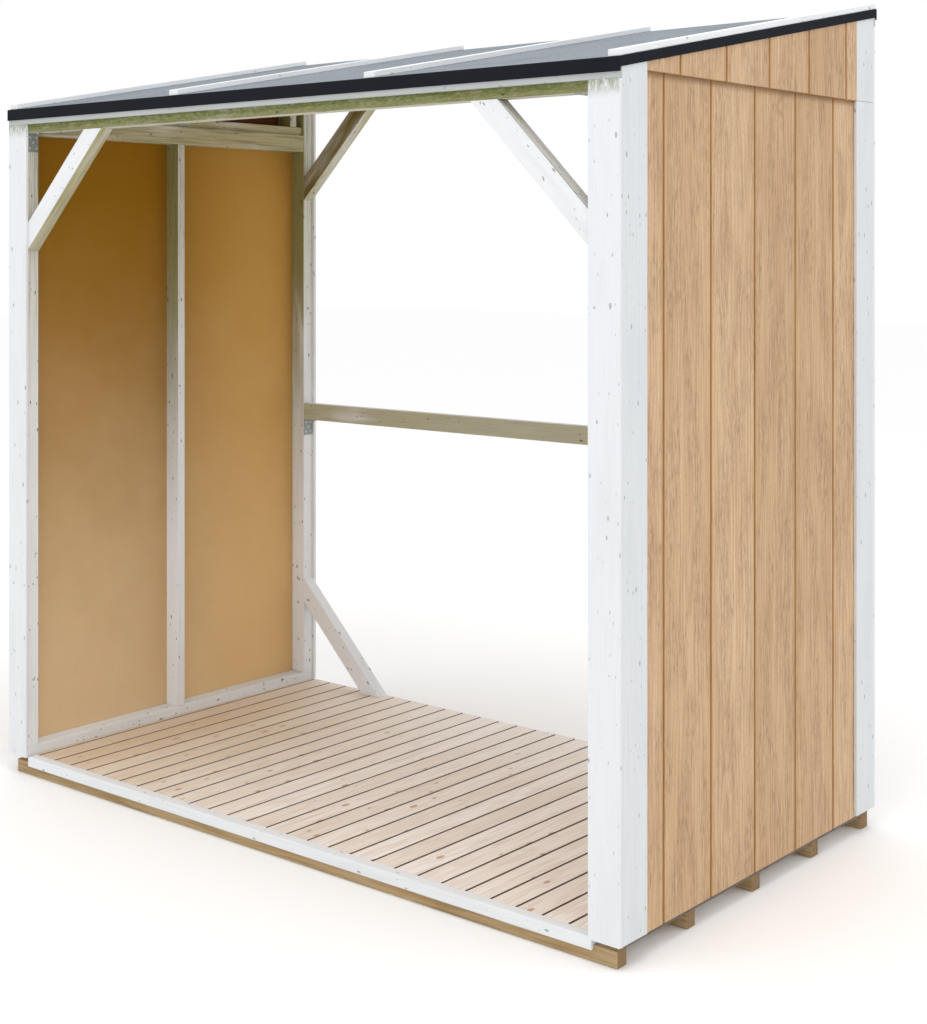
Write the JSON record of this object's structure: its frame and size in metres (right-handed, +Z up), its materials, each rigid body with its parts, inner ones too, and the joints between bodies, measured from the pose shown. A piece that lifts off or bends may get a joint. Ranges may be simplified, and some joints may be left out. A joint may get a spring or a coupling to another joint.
{
  "type": "log store",
  "caption": "Open-fronted timber log store with boarded ends, slatted deck on runners, braced frame and single-pitch felted roof.",
  "frame": {"origin": "centre of the footprint, on the ground", "axes": "+X to the right across the open front, +Y to the back, +Z up"},
  "size_m": [2.264, 1.245, 2.2743],
  "materials": {
    "white_timber": "satin",
    "siding_panel": "satin",
    "deck_timber": "matte",
    "runner_timber": "matte",
    "roof_felt": "matte",
    "galvanised_steel": "satin"
  },
  "bodies": {
    "root": {"runners": "runner_timber", "deck_boards": "deck_timber", "front_sill": "white_timber", "left_bottom_plate": "white_timber", "right_bottom_plate": "white_timber", "left_front_post": "white_timber", "right_front_post": "white_timber", "left_mid_stud": "white_timber", "right_mid_stud": "white_timber", "left_rear_post": "white_timber", "right_rear_post": "white_timber", "left_top_plate": "white_timber", "right_top_plate": "white_timber", "left_siding": "siding_panel", "right_siding": "siding_panel", "left_gable_plate": "white_timber", "right_gable_plate": "white_timber", "left_gable_upright": "white_timber", "right_gable_upright": "white_timber", "left_gable_rafter": "white_timber", "right_gable_rafter": "white_timber", "left_gable_panel": "siding_panel", "right_gable_panel": "siding_panel", "left_side_front_trim": "white_timber", "right_side_front_trim": "white_timber", "left_side_rear_trim": "white_timber", "right_side_rear_trim": "white_timber", "front_header": "white_timber", "front_eaves_board": "white_timber", "front_trims": "white_timber", "front_braces": "white_timber", "rear_header": "white_timber", "rear_mid_rail": "white_timber", "rear_eaves_board": "white_timber", "rear_trims": "white_timber", "rear_upper_braces": "white_timber", "rear_lower_braces": "white_timber", "rafters": "white_timber", "roof_board": "runner_timber", "roof_felt": "roof_felt", "roof_batten_1": "white_timber", "roof_batten_2": "white_timber", "roof_batten_3": "white_timber", "roof_batten_4": "white_timber", "angle_brackets": "galvanised_steel"}
  },
  "joints": []
}
